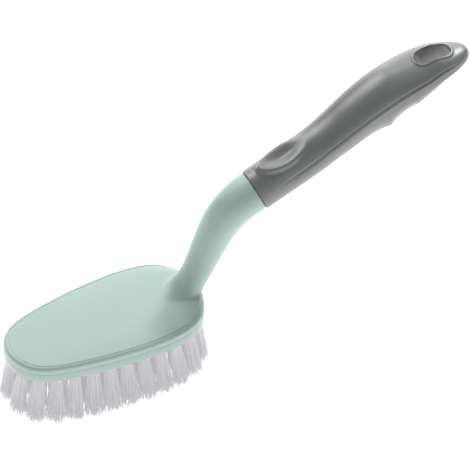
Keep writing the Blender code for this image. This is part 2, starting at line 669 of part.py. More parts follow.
def reach_along_x(things):
    """Lowest and highest x of the pieces' own points in the head frame."""
    spans = []
    for thing in things:
        place = np.array(thing.matrix_basis)
        points = np.array([corner.co[:] for corner in thing.data.vertices])
        spans.append(points @ place[:3, :3].T[:, 0] + place[0, 3])
    return min(span.min() for span in spans), max(span.max() for span in spans)


def main():
    clear_scene()
    brush = make_collection("scrub_brush")
    cutters = make_collection("cutters")
    cutters.hide_render = True
    head = make_head_and_neck(brush)
    block, holes = make_tuft_block(brush, cutters)
    grip, slot = make_grip(brush, cutters)
    tufts = make_tufts(brush)
    low, high = reach_along_x([head, block, grip, *tufts])
    frame = bpy.data.objects.new("brush_frame", None)
    brush.objects.link(frame)
    frame.location.x = -(low + high) / 2
    for thing in (head, block, grip, holes, slot, *tufts):
        thing.parent = frame
    print(f"head frame at x = {frame.location.x:.5f}, collar at x = {frame.location.x + COLLAR_X:.5f}, z = {COLLAR_Z:.5f}")


main()
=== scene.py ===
"""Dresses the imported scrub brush: fine mouldings and nylon tufts with their finishes, and a small studio.

The sizes are the brush's own, in metres. The head frame lies under the middle of the head, on the plane of
the bristle tips: +X runs towards the hand end, +Y to the left of someone looking that way, and +Z up. The
grip has a frame of its own at the collar: +X there runs along the grip and +Z away from the bristles.
"""

import math

import bpy
import numpy as np
from mathutils import Matrix, Vector
from mathutils.geometry import delaunay_2d_cdt


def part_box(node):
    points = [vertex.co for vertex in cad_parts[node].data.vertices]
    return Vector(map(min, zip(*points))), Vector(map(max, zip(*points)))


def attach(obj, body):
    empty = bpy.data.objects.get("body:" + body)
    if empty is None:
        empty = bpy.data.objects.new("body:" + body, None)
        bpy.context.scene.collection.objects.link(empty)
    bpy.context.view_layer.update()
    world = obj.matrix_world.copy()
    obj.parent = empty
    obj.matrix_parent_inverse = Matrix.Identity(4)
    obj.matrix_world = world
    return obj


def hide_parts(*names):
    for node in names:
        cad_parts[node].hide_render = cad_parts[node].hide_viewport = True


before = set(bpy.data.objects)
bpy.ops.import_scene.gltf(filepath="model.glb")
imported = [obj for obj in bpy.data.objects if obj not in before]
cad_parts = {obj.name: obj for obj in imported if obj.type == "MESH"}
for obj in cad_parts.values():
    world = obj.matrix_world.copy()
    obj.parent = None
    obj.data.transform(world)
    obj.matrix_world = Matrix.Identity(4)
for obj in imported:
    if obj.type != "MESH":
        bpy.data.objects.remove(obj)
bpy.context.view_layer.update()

# Head
HEAD_LENGTH = 0.120
HEAD_WIDTH = 0.0622
HEAD_THICKNESS = 0.010
OUTLINE_LENGTH_SHARES = (1.08, -0.015, -0.10, 0.0, 0.02)
OUTLINE_WIDTH_SHARES = (0.98, 0.04, 0.0, -0.04)
HEAD_AROUND = 216
BRISTLE_LENGTH = 0.030
SEAM_DROP = 0.0044
FIT_GAP = 0.0003
EDGE_RADIUS = 0.0019
LEAST_EDGE_RADIUS = 0.0003
SHOULDER_DEGREES = 84.0
SHOULDER_STEPS = 15
SHARP_ANGLE = math.radians(35.0)
CROWN = 0.0012
CROWN_STEPS = 18
CROWN_STEP_POWER = 1.3
COVER_WALL = 0.0027
COVER_ROOF = 0.0019
SEAM_ROUND = 0.00012
SEAM_LINE = 0.00010
ROUND_STEPS = 5
GROOVE_INSET = 0.00035
GROOVE_WIDTH = 0.00055
GROOVE_DEPTH = 0.00028
GROOVE_REACH = 0.0024
GROOVE_REACH_SHARE_LIMIT = 0.5
GROOVE_STEPS = 15
GROOVE_ROOM = (0.0020, 0.0060)
COLLAR_LINE = 0.00030
BLOCK_EDGE_RADIUS = 0.0008

# Tufts
HOLE_RADIUS = 0.00225
HOLE_DEPTH = 0.0060
HOLE_SIDES = 28
RIM_KEEP_SHARE = 0.985
NET_TOLERANCE = 1e-7
OUTLINE_SAMPLES = 721
OUTER_INSET = 0.0056
CORE_SETOUT = 0.0075
RING_END_SHARE = 0.6
RING_PITCH = (HEAD_WIDTH / 2 - OUTER_INSET - CORE_SETOUT) / 2
END_LEAN_SHARE = 0.68
TUFT_RINGS = (
    # name, inset from the outline, tufts on each side, outward lean along the long sides
    ("outer", OUTER_INSET, 13, math.radians(10.5)),
    ("middle", OUTER_INSET + RING_PITCH, 9, math.radians(6.5)),
    ("core", OUTER_INSET + 2 * RING_PITCH, 6, math.radians(2.5)),
)
FILAMENTS = 150
FILAMENT_RADIUS = 0.00019
FILAMENT_SIDES = 4
FILAMENT_STEPS = 7
FILAMENT_ROOM = 0.00195
FILAMENT_ROOT_DEPTH = 0.0035
TIP_ROOM = (0.0040, 0.0058)
TIP_SCATTER = 0.00045
TIP_RAGGED = 0.0044
TIP_WEAR_SHAPE = (1.2, 2.6)
FAN_POWER = 0.72
TIP_SPLAY = 0.0030
BEND_SCATTER = 0.0005
FILAMENT_RADIUS_SHARES = (0.85, 1.15)
GOLDEN_TURN = math.pi * (3.0 - math.sqrt(5.0))
TUFT_SEED = 11

# Neck
NECK_SETBACK = 0.0082
NECK_REACH = 0.0422
NECK_RISE = 0.057
NECK_ROOT_LEAN = math.radians(62.0)
NECK_ROOT_PULL = 0.0395
NECK_COLLAR_PULL = 0.0265
NECK_ROOT_HALF_WIDTH = 0.0089
NECK_ROOT_HALF_DEPTH = 0.0067
FILLET_RUN = 0.0110
FILLET_SIDE_SHARE = 0.62
FILLET_REACH_SHARE = 0.94
FILLET_TOP_SHARE = 0.12
FILLET_STEPS = 24
NECK_STEPS = 64

# Collar and tang
GRIP_TILT = math.radians(21.0)
COLLAR_HALF_WIDTH = 0.0129
COLLAR_HALF_HEIGHT = 0.0121
COLLAR_STEP = 0.0004
COLLAR_EDGE = 0.0004
COLLAR_EDGE_DEGREES = (0.0, 30.0, 60.0, 90.0)
SOCKET_WALL = 0.0026
TANG_LENGTH = 0.042
TANG_WALL = 0.0019
TANG_LEAD_IN = 0.0012
BORE_DEPTH_SHARE = 0.55
BORE_STEPS = 10

# Grip
GRIP_LENGTH = 0.1435
BELLY_HALF_WIDTH = 0.0156
BELLY_TOP = 0.0192
BELLY_SHOULDER = 0.0078
BELLY_DEPTH = 0.0092
GRIP_PROFILE_SHARES = (
    # along the grip, share of the collar's size, width, top, shoulder, depth
    (0.000, 1.00, 1.000, 1.000, 1.00, 1.00),
    (0.140, 1.00, 1.000, 1.000, 1.00, 1.00),
    (0.225, 0.97, 0.950, 0.700, 2.00, 1.10),
    (0.310, 0.88, 0.910, 0.700, 2.14, 1.14),
    (0.385, 0.68, 0.960, 0.847, 1.60, 0.96),
    (0.455, 0.40, 0.974, 0.939, 1.24, 1.03),
    (0.525, 0.15, 0.985, 0.966, 1.06, 1.09),
    (0.595, 0.00, 0.994, 0.984, 0.99, 1.01),
    (0.665, 0.00, 1.000, 0.984, 1.00, 1.00),
    (0.735, 0.00, 0.994, 0.875, 0.92, 0.98),
    (0.800, 0.00, 0.955, 0.763, 0.75, 0.82),
    (0.870, 0.00, 0.837, 0.660, 0.48, 0.60),
    (0.930, 0.00, 0.740, 0.420, 0.16, 0.63),
    (0.970, 0.00, 0.680, 0.310, -0.06, 0.78),
    (1.000, 0.00, 0.640, 0.270, -0.18, 0.88),
)
END_ROUND_START_SHARE = 0.87
END_ROUNDNESS = 2.3
CREASE_ANGLE = math.radians(64.0)
LOWER_CREASE_ANGLE = math.radians(80.0)
CREASE_STEP_ANGLE = math.radians(4.0)
CREASE_END_ANGLE = math.radians(106.0)
CREASE_DEPTH = 0.0006
CREASE_MARGINS = (math.radians(3.0), math.radians(8.0))
HALF_RING_COUNTS = (36, 33, 58)
CREASE_FADE_IN_SHARES = (0.06, 0.22)
LOWER_FADE_IN_SHARES = (0.45, 0.68)
CREASE_FADE_OUT_SHARES = (0.86, 0.96)
CREST_SETBACK = 0.0601
FINGER_PITCH = 0.0209
FIRST_SCALLOP_LENGTH = 0.0284
LAST_SCALLOP_LENGTH = 0.0257
FIRST_CREST = GRIP_LENGTH - CREST_SETBACK
SCALLOP_START = FIRST_CREST - FIRST_SCALLOP_LENGTH
FIRST_CREST_DROP = 0.0022
SECOND_CREST_DROP = 0.0006
SCALLOP_DEPTH = 0.0018
SCALLOP_DEPTH_SHARES = (1.0, 1.0, 0.4)
# What brings the peak of a leaning hump, and of an even one, to one
LEANING_HUMP = 27.0 / 4.0
EVEN_HUMP = 4.0
TOP_ROUNDNESS = 2.0
KEEL_ROUNDNESS = 2.0
CREST_FULLNESS_SHARE = 0.3
THUMB_CENTRE = 0.0246
THUMB_HALF_LENGTH = 0.0168
THUMB_HALF_WIDTH = 0.0077
THUMB_LIP = 0.0016
THUMB_DISH = 0.0018
LIP_OUTER_SHARES = (0.90, 1.16)
DISH_EDGE_SHARE = 0.88
DISH_POWER = 1.5
OUTER_STATIONS = (
    # first ring, last ring and how many, over the thumb rest, the scallops and the front half of the slot
    (COLLAR_LINE + COLLAR_EDGE, 0.0440, 112),
    (0.0445, 0.1120, 96),
    (0.1123, 0.1221, 36),
)
REAR_START = 0.1224
REAR_STEPS = 56
REAR_TURN_SHARE = 0.995
REAR_STEP_POWER = 1.6
GRIP_SHARP_ANGLE = math.radians(38.0)

# Grip hollow and hanging slot
GRIP_WALL = 0.0024
HOLLOW_END_TAPER_SHARE = 0.55
HOLLOW_STEPS = 24
SLOT_SETBACK = 0.0190
SLOT_WALL = 0.0042
SLOT_LENGTH = 0.020
SLOT_WIDTH = 0.0100
SLOT_CORNER = 0.0043
SLOT_CORNER_STEPS = 14
SLOT_ROUNDNESS = 2.25
SLOT_FLATTENING = (0.096, 0.118)
SLOT_RIM = 0.0008
BEAD_OFFSET = 0.0008
BEAD_WIDTH = 0.0008
BEAD_HEIGHT = 0.00065
SLOT_RIM_STEPS = 8
SLOT_RIM_LIFT = 0.00006
OVERRUN = 0.006

# Places that follow from the sizes above
UNDERSIDE_Z = BRISTLE_LENGTH
TOP_Z = UNDERSIDE_Z + HEAD_THICKNESS
SEAM_Z = TOP_Z - SEAM_DROP
NECK_ROOT_X = HEAD_LENGTH / 2 - NECK_SETBACK
COLLAR_X = NECK_ROOT_X + NECK_REACH
COLLAR_Z = TOP_Z + NECK_RISE
NECK_END_HALF_WIDTH = COLLAR_HALF_WIDTH - COLLAR_STEP
NECK_END_HALF_DEPTH = COLLAR_HALF_HEIGHT - COLLAR_STEP
SLOT_CENTRE = GRIP_LENGTH - SLOT_SETBACK
HOLLOW_END = SLOT_CENTRE - SLOT_LENGTH / 2 - SLOT_WALL - GRIP_WALL
TANG_HALF_WIDTH = COLLAR_HALF_WIDTH - SOCKET_WALL - FIT_GAP
TANG_HALF_HEIGHT = COLLAR_HALF_HEIGHT - SOCKET_WALL - FIT_GAP
AROUND = np.linspace(0.0, 2.0 * math.pi, HEAD_AROUND, endpoint=False)

# Photograph: how the brush lies in its square frame, and the camera's turn and height
PHOTO_SIDE = 470.0
HEAD_CENTRE_PIXEL = (105.26, 318.05)
PIXELS_PER_METRE = 1790.0
CAMERA_TURN = math.radians(27.8)
CAMERA_HEIGHT = math.radians(44.5)
CAMERA_DISTANCE = 7.0
CAMERA_CLIP_END = 100.0
SENSOR_WIDTH = 36.0

# Moulded plastics: what each gives the shared skin, its shader's constants, its bump's strength and depth
MINT_LOOK = {
    "Colour": (0.402, 0.540, 0.492, 1.0),
    "Scuff colour": (0.62, 0.72, 0.68, 1.0),
    "Drift": 0.05,
    "Roughness": 0.44,
    "Mottle": 0.07,
    "Grain scale": 900.0,
    "Scuffs": 0.10,
}
MINT_GLOSS = {
    "IOR": 1.50,
    "Subsurface Weight": 0.12,
    "Subsurface Radius": (0.5, 1.0, 0.8),
    "Subsurface Scale": 0.004,
}
MINT_BUMP = (0.05, 0.0002)
# Tuft block: the mint moulding's colour made 4% darker, painted shade on the band and underside, and a little
# less rough
SHADED_BLOCK_LOOK = {**MINT_LOOK, "Colour": (0.386, 0.519, 0.474, 1.0), "Roughness": 0.40}
GREY_LOOK = {
    "Colour": (0.158, 0.164, 0.164, 1.0),
    "Scuff colour": (0.24, 0.25, 0.25, 1.0),
    "Drift": 0.08,
    "Roughness": 0.37,
    "Mottle": 0.10,
    "Grain scale": 2200.0,
    "Scuffs": 0.10,
}
GREY_GLOSS = {"IOR": 1.75}
GREY_BUMP = (0.10, 0.00015)

# The shared skin's noises: cells per metre, detail and roughness, and the limits that each mask opens over
DRIFT_NOISE = (28.0, 3.0, 0.5)
MOTTLE_NOISE = (420.0, 4.0, 0.6)
PATCH_NOISE = (55.0, 2.0, 0.5)
PATCH_LIMITS = (0.5, 0.65)
GRAIN_DETAIL = 2.0
SCUFF_TURN = (0.3, -0.36, 0.5)
SCUFF_STRETCH = (60.0, 700.0, 700.0)
SCUFF_LIMITS = (0.66, 0.74)
LINE_DETAIL = 2.0
PLAIN_NOISE_ROUGHNESS = 0.5
NOISE_MEAN = 0.5

# Nylon: milky, with a painted glow: emission that stands in for the light real filaments pass on from one to
# the next and lightens the shade between the tufts
NYLON_LOOK_AND_PAINTED_GLOW = {
    "Roughness": 0.40,
    "IOR": 1.53,
    "Transmission Weight": 0.35,
    # Painted glow: the filaments give off light of their own, though they are no lamp
    "Emission Color": (0.97, 0.96, 1.0, 1.0),
    "Emission Strength": 0.15,
}
NYLON_TIP_COLOUR = (0.63, 0.627, 0.64, 1.0)
NYLON_ROOT_COLOUR = (0.72, 0.712, 0.732, 1.0)
NYLON_ROOT_SHARE = 0.75
STREAK_STRETCH = (2600.0, 2600.0, 60.0)
STREAK_LEVELS = (0.86, 1.04)

# Floor: white card, lit a little from within as a light table is
FLOOR_LOOK = {
    "Base Color": (0.93, 0.93, 0.93, 1.0),
    "Roughness": 0.7,
    "Emission Color": (1.0, 1.0, 1.0, 1.0),
    "Emission Strength": 0.80,
}
FLOOR_HALF_SIDE = 6.0

# Light: a dim sky, brighter in five directions, and three soft boxes
SKY_LEVEL = 0.09
SKY_LOBES = (
    # towards, cosines where the lobe starts and is full, what it adds
    ((0.42, 0.90, 0.12), 0.82, 0.97, 3.3),
    ((-0.15, -0.98, 0.05), 0.50, 0.95, 0.72),
    ((0.95, -0.20, 0.10), 0.50, 0.95, 0.25),
    ((-0.95, 0.10, 0.20), 0.50, 0.95, 0.25),
    ((0.00, -0.10, 0.99), 0.80, 0.97, 0.18),
)
SOFT_BOXES = (
    # name, place, aim, side in metres, watts
    ("key", (1.15, 0.62, 1.30), (0.0, 0.0, 0.05), 0.32, 16.8),
    ("sheen", (0.52, 1.00, 1.25), (0.0, 0.0, 0.05), 0.45, 2.8),
    ("ridge", (-0.30, 1.00, 1.10), (0.05, 0.0, 0.10), 0.70, 9.0),
)


def smoothstep(low, high, value):
    """0 below low, 1 above high, and between them three squares less two cubes of the share of the way."""
    share = np.clip((value - low) / (high - low), 0.0, 1.0)
    return share * share * (3.0 - 2.0 * share)


def smooth_through(stations, values, at):
    """A cubic between each two stations that meets their values and mean slopes, read at the given places."""
    stations = np.asarray(stations)
    values = np.asarray(values)
    slopes = np.gradient(values, stations)
    index = np.clip(np.searchsorted(stations, at, side="right") - 1, 0, len(stations) - 2)
    span = stations[index + 1] - stations[index]
    share = (at - stations[index]) / span
    rest = 1.0 - share
    start = (1.0 + 2.0 * share) * rest**2 * values[index] + share * rest**2 * span * slopes[index]
    end = share**2 * (3.0 - 2.0 * share) * values[index + 1] - share**2 * rest * span * slopes[index + 1]
    return start + end


def outline(angles, inset):
    """The head's plan: x sums cosines of the angle and y sums sines, moved in square to the edge."""
    orders = np.arange(1, len(OUTLINE_LENGTH_SHARES) + 1)
    turns = np.multiply.outer(angles, orders)
    x = HEAD_LENGTH / 2 * np.cos(turns) @ np.array(OUTLINE_LENGTH_SHARES)
    along_x = -HEAD_LENGTH / 2 * (np.sin(turns) * orders) @ np.array(OUTLINE_LENGTH_SHARES)
    orders = orders[: len(OUTLINE_WIDTH_SHARES)]
    turns = turns[..., : len(OUTLINE_WIDTH_SHARES)]
    y = HEAD_WIDTH / 2 * np.sin(turns) @ np.array(OUTLINE_WIDTH_SHARES)
    along_y = HEAD_WIDTH / 2 * (np.cos(turns) * orders) @ np.array(OUTLINE_WIDTH_SHARES)
    length = np.hypot(along_x, along_y)
    return np.stack([x - inset * along_y / length, y + inset * along_x / length], axis=-1)


def level_ring(inset, height):
    """The plan outline, moved in by the inset, at one height."""
    return np.column_stack([outline(AROUND, inset), np.broadcast_to(height, HEAD_AROUND)])


HEAD_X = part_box("tuft_block")[0][0] - outline(np.array([math.pi]), 0.0)[0, 0]
HEAD_PLACE = np.array([HEAD_X, 0.0, 0.0])
GRIP_PLACE = Matrix.Translation((HEAD_X + COLLAR_X, 0.0, COLLAR_Z)) @ Matrix.Rotation(-GRIP_TILT, 4, "Y")


def turned_out(points, quads, caps):
    """The faces with their fronts outwards: the volume under them, a sum of products, has to be positive."""
    corner = points[quads]
    first = np.cross(corner[:, 1], corner[:, 2])
    second = np.cross(corner[:, 2], corner[:, 3])
    volume = np.einsum("ij,ij->", corner[:, 0], first) + np.einsum("ij,ij->", corner[:, 0], second)
    if volume < 0.0:
        return quads[:, ::-1], [cap[::-1] for cap in caps]
    return quads, caps


def add_piece(name, mesh, material, nodes):
    """Puts a finished mesh in the scene as a piece that rides on the brush and stands for the given nodes."""
    mesh.materials.append(material)
    piece = bpy.data.objects.new(name, mesh)
    bpy.context.scene.collection.objects.link(piece)
    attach(piece, "root")
    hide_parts(*nodes)


def wall_quads(count, around):
    """Quads from each ring to the next, for a number of rings of so many points around."""
    row = np.arange(count - 1)[:, None] * around
    here = np.arange(around)[None, :]
    after = (here + 1) % around
    above = row + around
    return np.stack([row + here, row + after, above + after, above + here], axis=-1).reshape(-1, 4)


def ring_skin(name, rings):
    """A closed skin over rings of equal count: quads between them, and a flat face across each end ring."""
    grid = np.array(rings)
    count, around = grid.shape[:2]
    points = grid.reshape(-1, 3)
    last = (count - 1) * around
    caps = [list(range(around - 1, -1, -1)), list(range(last, last + around))]
    quads, caps = turned_out(points - points.mean(axis=0), wall_quads(count, around), caps)
    mesh = bpy.data.meshes.new(name)
    mesh.from_pydata(points.tolist(), [], [*quads.tolist(), *caps])
    mesh.validate()
    mesh.shade_smooth()
    mesh.set_sharp_from_angle(angle=SHARP_ANGLE)
    return mesh


def neck_centre(share):
    """The neck's centre line, a cubic Bezier curve in the XZ plane, and its direction, at a share of it."""
    start = np.array([NECK_ROOT_X, TOP_Z])
    end = np.array([COLLAR_X, COLLAR_Z])
    lean = np.array([math.cos(NECK_ROOT_LEAN), math.sin(NECK_ROOT_LEAN)])
    tilt = np.array([math.cos(GRIP_TILT), math.sin(GRIP_TILT)])
    points = (start, start + NECK_ROOT_PULL * lean, end - NECK_COLLAR_PULL * tilt, end)
    rest = 1.0 - share
    weights = (rest**3, 3.0 * rest**2 * share, 3.0 * rest * share**2, share**3)
    pulls = (3.0 * rest**2, 6.0 * rest * share, 3.0 * share**2)
    centre = sum(weight * point for weight, point in zip(weights, points))
    direction = sum(pull * (after - before) for pull, before, after in zip(pulls, points, points[1:]))
    return centre, direction / np.linalg.norm(direction)


def neck_ring(share, half_width, half_depth, along=0.0):
    """An oval square to the neck's centre line: width times the sine across, depth times the cosine away."""
    centre, direction = neck_centre(share)
    depth = half_depth * np.cos(AROUND)
    x = centre[0] + along * direction[0] + depth * direction[1]
    z = centre[1] + along * direction[1] - depth * direction[0]
    return np.column_stack([x, half_width * np.sin(AROUND), z])


def neck_sizes(share):
    """Half width, growing evenly, and half depth, growing by a quarter sine, from the root to the collar."""
    half_width = NECK_ROOT_HALF_WIDTH + (NECK_END_HALF_WIDTH - NECK_ROOT_HALF_WIDTH) * share
    depth_share = math.sin(share * math.pi / 2)
    half_depth = NECK_ROOT_HALF_DEPTH + (NECK_END_HALF_DEPTH - NECK_ROOT_HALF_DEPTH) * depth_share
    return half_width, half_depth


def rounded_edge(radius, height, up):
    """Rings of a quarter circle from a level face to the band at its edge, which goes up (1) or down (-1)."""
    turns = np.radians(np.linspace(0.0, 90.0, ROUND_STEPS))
    rings = []
    for turn in turns:
        inset = radius * (1.0 - math.sin(turn))
        rings.append(level_ring(inset, height + up * radius * (1.0 - math.cos(turn))))
    return rings


def cover_rings():
    """The cover: its recess, a rounded lower edge, the band, the shoulder, the grooved crown and the fillet.

    Shoulder: its inset is the radius times one less the cosine, and its fall the radius times one less the
    sine. The radius grows from its least value by a tanh of the room before the neck. Crown: a parabola over
    the share of the way in, less a groove, a bell curve over the distance from the shoulder. Fillet: a
    quadratic Bezier from the crown to the neck's first oval, over a run that is shorter at the sides.
    """
    rings = [level_ring(COVER_WALL, TOP_Z - COVER_ROOF), level_ring(COVER_WALL, SEAM_Z)]
    rings += rounded_edge(SEAM_ROUND, SEAM_Z, 1.0)
    foot_x = NECK_ROOT_X + NECK_ROOT_HALF_DEPTH / math.sin(NECK_ROOT_LEAN) * np.cos(AROUND)
    foot_z = np.full(HEAD_AROUND, TOP_Z + CROWN)
    foot = np.column_stack([foot_x, NECK_ROOT_HALF_WIDTH * np.sin(AROUND), foot_z])
    room = np.linalg.norm((foot - level_ring(0.0, TOP_Z))[:, :2], axis=1)
    radius = EDGE_RADIUS * np.tanh(room / (2.0 * EDGE_RADIUS)) + LEAST_EDGE_RADIUS
    for turn in np.radians(np.linspace(0.0, SHOULDER_DEGREES, SHOULDER_STEPS)):
        rings.append(level_ring(radius * (1.0 - math.cos(turn)), TOP_Z - radius * (1.0 - math.sin(turn))))
    edge = level_ring(radius, TOP_Z)
    length = np.linalg.norm((edge - foot)[:, :2], axis=1)
    full_run = FILLET_RUN * (1.0 - (1.0 - FILLET_SIDE_SHARE) * np.sin(AROUND) ** 2)
    run = full_run * np.tanh(FILLET_REACH_SHARE * length / full_run)
    start_share = (1.0 - run / length)[:, None]
    level_run = start_share[:, 0] * length
    groove_share = np.minimum(GROOVE_REACH / level_run, GROOVE_REACH_SHARE_LIMIT)
    fade = smoothstep(*GROOVE_ROOM, level_run)
    shares = [groove_share * step for step in np.linspace(0.0, 1.0, GROOVE_STEPS)[:-1]]
    crown_steps = np.linspace(0.0, 1.0, CROWN_STEPS)[:-1] ** CROWN_STEP_POWER
    shares += [groove_share + (1.0 - groove_share) * step for step in crown_steps]
    for share in shares:
        way = start_share[:, 0] * share
        ring = edge + (foot - edge) * way[:, None]
        groove = GROOVE_DEPTH * fade * np.exp(-(((way * length - GROOVE_INSET) / GROOVE_WIDTH) ** 2))
        ring[:, 2] = TOP_Z + CROWN * (1.0 - (1.0 - way) ** 2) - groove
        rings.append(ring)
    start = edge + (foot - edge) * start_share
    start[:, 2] = TOP_Z + CROWN * (1.0 - (1.0 - start_share[:, 0]) ** 2)
    finish = neck_ring(FILLET_TOP_SHARE, *neck_sizes(FILLET_TOP_SHARE))
    for share in np.linspace(0.0, 1.0, FILLET_STEPS, endpoint=False):
        rings.append((1.0 - share) ** 2 * start + 2.0 * (1.0 - share) * share * foot + share**2 * finish)
    return rings


def neck_rings():
    """The neck up to its rounded end, the step in to the tang, the tang's lead-in and the bore inside it."""
    shares = np.linspace(FILLET_TOP_SHARE, 1.0, NECK_STEPS, endpoint=False)
    rings = [neck_ring(share, *neck_sizes(share)) for share in shares]
    face = -COLLAR_LINE
    for turn in np.radians(COLLAR_EDGE_DEGREES):
        shrink = COLLAR_EDGE * (1.0 - math.cos(turn))
        back = COLLAR_EDGE * (1.0 - math.sin(turn))
        rings.append(neck_ring(1.0, NECK_END_HALF_WIDTH - shrink, NECK_END_HALF_DEPTH - shrink, face - back))
    rings.append(neck_ring(1.0, TANG_HALF_WIDTH, TANG_HALF_HEIGHT, face))
    rings.append(neck_ring(1.0, TANG_HALF_WIDTH, TANG_HALF_HEIGHT, TANG_LENGTH - TANG_LEAD_IN))
    lead_in = TANG_LEAD_IN / 2
    rings.append(neck_ring(1.0, TANG_HALF_WIDTH - lead_in, TANG_HALF_HEIGHT - lead_in, TANG_LENGTH))
    bore = (TANG_HALF_WIDTH - TANG_WALL, TANG_HALF_HEIGHT - TANG_WALL)
    rings.append(neck_ring(1.0, *bore, TANG_LENGTH))
    rings.append(neck_ring(1.0, *bore))
    for share in np.linspace(1.0, BORE_DEPTH_SHARE, BORE_STEPS)[1:]:
        shrink = (share + 1.0) / 2.0
        rings.append(neck_ring(share, bore[0] * shrink, bore[1] * shrink))
    return rings


def tuft_places():
    """Ring, number, side, plan place, outward direction and lean of every tuft, the right side a mirror."""
    places = []
    edge = outline(np.linspace(0.0, math.pi, OUTLINE_SAMPLES), 0.0)
    for ring, inset, count, lean in TUFT_RINGS:
        line = edge * (1.0 - inset / (HEAD_LENGTH / 2), 1.0 - inset / (HEAD_WIDTH / 2))
        run = np.concatenate([[0.0], np.cumsum(np.linalg.norm(np.diff(line, axis=0), axis=1))])
        stations = (np.arange(count) + RING_END_SHARE) / (count - 1 + 2.0 * RING_END_SHARE)
        for number, index in enumerate(np.searchsorted(run, run[-1] * stations), start=1):
            outward = edge[index] - line[index]
            outward /= np.linalg.norm(outward)
            turn = lean * (END_LEAN_SHARE + (1.0 - END_LEAN_SHARE) * outward[1] ** 2)
            for side, mirror in (("left", 1.0), ("right", -1.0)):
                flip = (1.0, mirror)
                places.append((ring, number, side, line[index] * flip, outward * flip, turn))
    return places


def tuft_axes(outward, lean):
    """A tuft's unit axes: outwards, along the edge, and back up the bristles, all turned by the lean."""
    out = np.array([*outward, 0.0])
    up = np.array([0.0, 0.0, 1.0])
    back = up * math.cos(lean) - out * math.sin(lean)
    ahead = out * math.cos(lean) + up * math.sin(lean)
    return ahead, np.cross(back, ahead), back


def underside_net(points, loops, places):
    """The flat net of triangles between the block's outer ring, the first loop, and the rims of its holes."""
    flat = np.concatenate([points[loop] for loop in loops])
    indices = np.concatenate(loops)
    edges = []
    start = 0
    for loop in loops:
        ring = np.arange(start, start + len(loop))
        edges += np.stack([ring, np.roll(ring, -1)], axis=-1).tolist()
        start += len(loop)
    plan = [Vector(corner) for corner in flat[:, :2]]
    _, _, net, origin, _, _ = delaunay_2d_cdt(plan, edges, [], 0, NET_TOLERANCE)
    centres = np.array([flat[[origin[v][0] for v in face], :2].mean(axis=0) for face in net])
    open_net = np.ones(len(net), bool)
    for _, _, _, spot, _, _ in places:
        open_net &= np.linalg.norm(centres - spot, axis=1) > HOLE_RADIUS * RIM_KEEP_SHARE
    reach = np.hypot(*(centres / (HEAD_LENGTH / 2 + OVERRUN, HEAD_WIDTH / 2 + OVERRUN)).T)
    open_net &= reach < 1.0
    kept_net = [face for face, kept in zip(net, open_net) if kept]
    return [[int(indices[origin[v][0]]) for v in face][::-1] for face in kept_net]


def block_skin(places):
    """The tuft block: a band and tongue from level rings, and an underside pierced by the leaning tuft holes.

    Each hole's rim is where its leaning cylinder meets the underside, an ellipse longer by one over the
    cosine of the lean.
    """
    tongue_inset = COVER_WALL + FIT_GAP
    seam = SEAM_Z - SEAM_LINE
    rings = rounded_edge(BLOCK_EDGE_RADIUS, UNDERSIDE_Z, 1.0)
    rings += rounded_edge(SEAM_ROUND, seam, -1.0)[::-1]
    rings += [level_ring(tongue_inset, seam), level_ring(tongue_inset, TOP_Z - COVER_ROOF - FIT_GAP)]
    points = [np.concatenate(rings)]
    quads = [wall_quads(len(rings), HEAD_AROUND)]
    total = len(rings) * HEAD_AROUND
    caps = [list(range(total - HEAD_AROUND, total))]
    loops = [np.arange(HEAD_AROUND)]
    turns = np.linspace(0.0, 2.0 * math.pi, HOLE_SIDES, endpoint=False)
    for _, _, _, spot, outward, lean in places:
        ahead, beside, back = tuft_axes(outward, lean)
        round_out = HOLE_RADIUS * (np.cos(turns)[:, None] * ahead + np.sin(turns)[:, None] * beside)
        mouth = np.array([*spot, UNDERSIDE_Z]) + round_out - back * (round_out[:, 2] / back[2])[:, None]
        floor = np.array([*spot, UNDERSIDE_Z]) + round_out + back * HOLE_DEPTH
        points += [mouth, floor]
        quads.append(total + wall_quads(2, HOLE_SIDES))
        caps.append(list(range(total + 2 * HOLE_SIDES - 1, total + HOLE_SIDES - 1, -1)))
        loops.append(total + np.arange(HOLE_SIDES))
        total += 2 * HOLE_SIDES
    points = np.concatenate(points)
    net = underside_net(points, loops, places)
    mesh = bpy.data.meshes.new("tuft_block_skin")
    mesh.from_pydata(points.tolist(), [], [*np.concatenate(quads).tolist(), *caps, *net])
    mesh.validate()
    return mesh


def grip_sizes(along):
    """Half width, top, shoulder and bottom heights of the grip's section at places along it."""
    table = np.array(GRIP_PROFILE_SHARES)
    stations = table[:, 0] * GRIP_LENGTH
    collar, width, top, shoulder, depth = (smooth_through(stations, column, along) for column in table.T[1:])
    collar = np.clip(collar, 0.0, 1.0)
    belly = 1.0 - collar
    half_width = collar * COLLAR_HALF_WIDTH + belly * BELLY_HALF_WIDTH * width
    top = collar * COLLAR_HALF_HEIGHT + belly * BELLY_TOP * top
    shoulder = belly * BELLY_SHOULDER * shoulder
    bottom = -collar * COLLAR_HALF_HEIGHT - belly * BELLY_DEPTH * depth
    return half_width, top, shoulder, bottom


def scallop_drop(along):
    """The underside's drop below its plain line: straight runs between the crests, less a hump per finger."""
    second_crest = FIRST_CREST + FINGER_PITCH
    crests = (SCALLOP_START, FIRST_CREST, second_crest, second_crest + LAST_SCALLOP_LENGTH)
    drops = (0.0, FIRST_CREST_DROP, SECOND_CREST_DROP, 0.0)
    line = np.interp(along, crests, drops)
    shapes = (
        lambda share: LEANING_HUMP * share**2 * (1.0 - share),
        lambda share: EVEN_HUMP * share * (1.0 - share),
        lambda share: LEANING_HUMP * share * (1.0 - share) ** 2,
    )
    for start, end, depth_share, shape in zip(crests, crests[1:], SCALLOP_DEPTH_SHARES, shapes):
        line = line - SCALLOP_DEPTH * depth_share * shape(np.clip((along - start) / (end - start), 0.0, 1.0))
    return line


